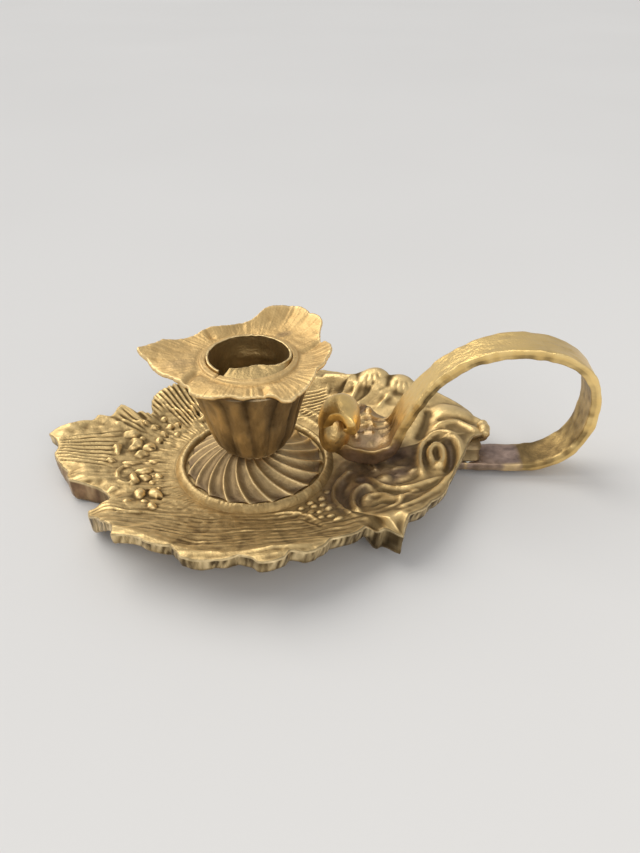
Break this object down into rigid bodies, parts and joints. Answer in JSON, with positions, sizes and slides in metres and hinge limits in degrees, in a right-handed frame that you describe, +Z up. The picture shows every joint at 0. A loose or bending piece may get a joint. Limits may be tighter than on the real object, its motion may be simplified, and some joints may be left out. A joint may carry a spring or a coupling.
{
  "type": "chamberstick with finger loop",
  "caption": "Cast brass chamberstick: leaf-shaped tray with a swirled foot, a fluted candle cup with a lift-out petalled drip pan and sleeve, and a scrolled strap handle with a finger loop.",
  "frame": {"origin": "on the table under the middle of the candle socket", "axes": "+Z up along the candle, +X towards the handle, +Y away from the viewer of the picture"},
  "size_m": [0.1533, 0.0915, 0.0418],
  "materials": {
    "cast_brass": "matte aged gilt brass, ridges rubbed lighter",
    "cup_brass": "darker bronze-brown patina",
    "sheet_brass": "thin sheet, rubbed edge",
    "strap_brass": "satin brass with brown heat patina",
    "braze": "coppery braze",
    "solder": "grey solder",
    "screw_brass": "dull brass"
  },
  "bodies": {
    "stand": {"tray": "cast_brass", "swirl_foot": "cast_brass", "candle_cup": "cup_brass", "handle": "strap_brass", "front_braze": "braze", "rear_solder": "solder", "centre_screw": "screw_brass", "washer": "screw_brass", "nut": "screw_brass"},
    "nozzle": {"drip_pan": "cast_brass", "candle_sleeve": "sheet_brass"}
  },
  "joints": [
    {"name": "nozzle_lift", "type": "slide", "parent": "stand", "child": "nozzle", "axis": [0, 0, 1], "range_m": [0, 0.03]}
  ]
}
